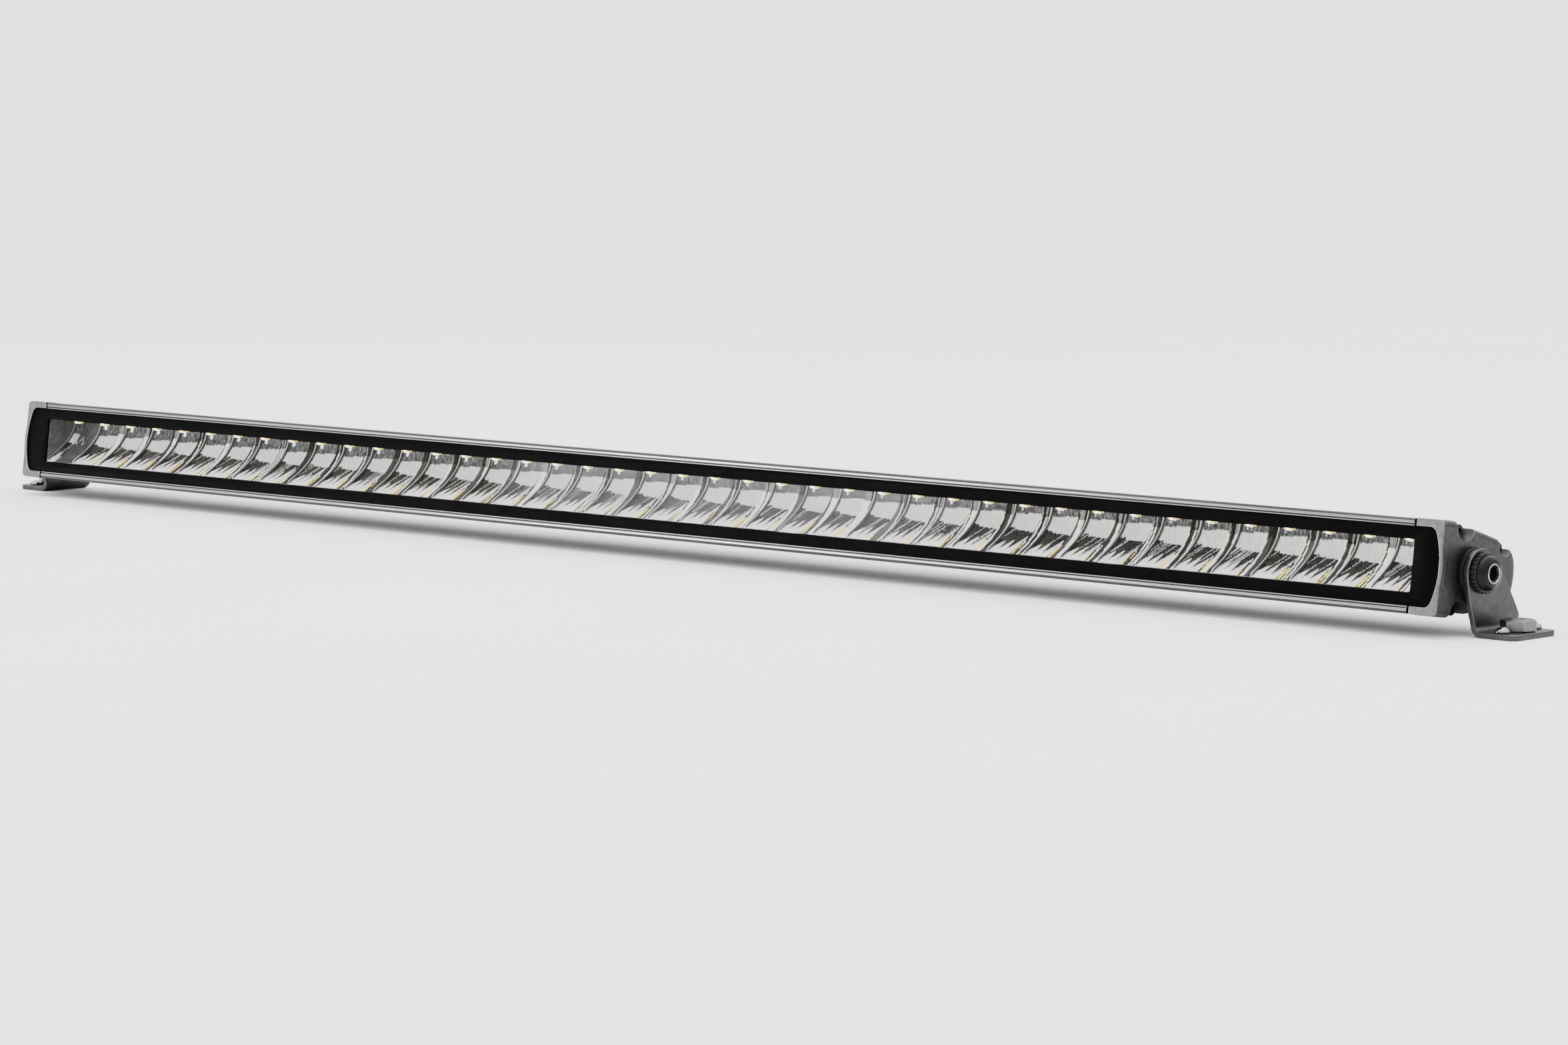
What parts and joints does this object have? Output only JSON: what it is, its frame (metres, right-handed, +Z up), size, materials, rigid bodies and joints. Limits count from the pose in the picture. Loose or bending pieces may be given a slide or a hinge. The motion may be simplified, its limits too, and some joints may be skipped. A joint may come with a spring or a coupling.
{
  "type": "led light bar",
  "caption": "Slim single-row LED light bar: finned aluminium housing, black-bordered clear lens over a mirrored trough, cast end caps, two tilting foot brackets.",
  "frame": {"origin": "middle of the bar's length and depth, on the surface the bracket feet stand on", "axes": "+X along the bar towards the end furthest from the cable entry, -Y the way it shines, +Z up"},
  "size_m": [1.1526, 0.0724, 0.0585],
  "materials": {
    "anodised_aluminium": "satin silver-grey anodised",
    "cast_cap": "die cast, fine matt grey coat",
    "seal_rubber": "matt black",
    "black_steel": "black, semi-gloss",
    "clear_lens": "clear polycarbonate, glossy",
    "lens_border": "deep gloss black",
    "optic_end": "matt dark grey",
    "mirror_trough": "vacuum-metallised mirror",
    "led_board": "white solder mask, yellow LEDs",
    "thermal_pad": "soft matt blue-grey",
    "driver_board": "green solder mask",
    "black_plastic": "moulded black nylon",
    "brass": "turned",
    "bracket_steel": "satin grey powder coat",
    "zinc_bolt": "zinc plated",
    "chrome_rivet": "polished"
  },
  "bodies": {
    "light_bar": {"housing": "anodised_aluminium", "lens": "clear_lens", "lens_mask": "lens_border", "lens_seal": "seal_rubber", "thermal_pad": "thermal_pad", "driver_board": "driver_board", "cable_gland": "black_plastic", "cable_gland_nut": "black_plastic", "vent_plug": "black_plastic", "reflector_1": "mirror_trough", "reflector_2": "mirror_trough", "reflector_3": "mirror_trough", "reflector_4": "mirror_trough", "reflector_5": "mirror_trough", "led_board_1": "led_board", "led_board_2": "led_board", "led_board_3": "led_board", "led_board_4": "led_board", "led_board_5": "led_board", "end_cap_left": "cast_cap", "end_cap_gasket_left": "seal_rubber", "reflector_end_left": "optic_end", "pivot_insert_left": "brass", "pivot_bolt_left": "black_steel", "end_cap_screw_left_1": "black_steel", "end_cap_screw_left_2": "black_steel", "end_cap_screw_left_3": "black_steel", "end_cap_screw_left_4": "black_steel", "end_cap_right": "cast_cap", "end_cap_gasket_right": "seal_rubber", "reflector_end_right": "optic_end", "pivot_insert_right": "brass", "pivot_bolt_right": "black_steel", "end_cap_screw_right_1": "black_steel", "end_cap_screw_right_2": "black_steel", "end_cap_screw_right_3": "black_steel", "end_cap_screw_right_4": "black_steel"},
    "bracket_left": {"bracket_left": "bracket_steel", "pivot_spacer_left": "black_plastic", "pivot_washer_left": "black_steel", "foot_bolt_left": "zinc_bolt", "foot_rivet_left_front": "chrome_rivet", "foot_rivet_left_rear": "chrome_rivet"},
    "bracket_right": {"bracket_right": "bracket_steel", "pivot_spacer_right": "black_plastic", "pivot_washer_right": "black_steel", "foot_bolt_right": "zinc_bolt", "foot_rivet_right_front": "chrome_rivet", "foot_rivet_right_rear": "chrome_rivet"}
  },
  "joints": [
    {"name": "bracket_left_tilt", "type": "hinge", "parent": "light_bar", "child": "bracket_left", "pos_m": [-0.5511, -0.00824, 0.0316], "axis": [1, 0, 0], "continuous": true},
    {"name": "bracket_right_tilt", "type": "hinge", "parent": "light_bar", "child": "bracket_right", "pos_m": [0.5511, -0.00824, 0.0316], "axis": [1, 0, 0], "continuous": true}
  ]
}
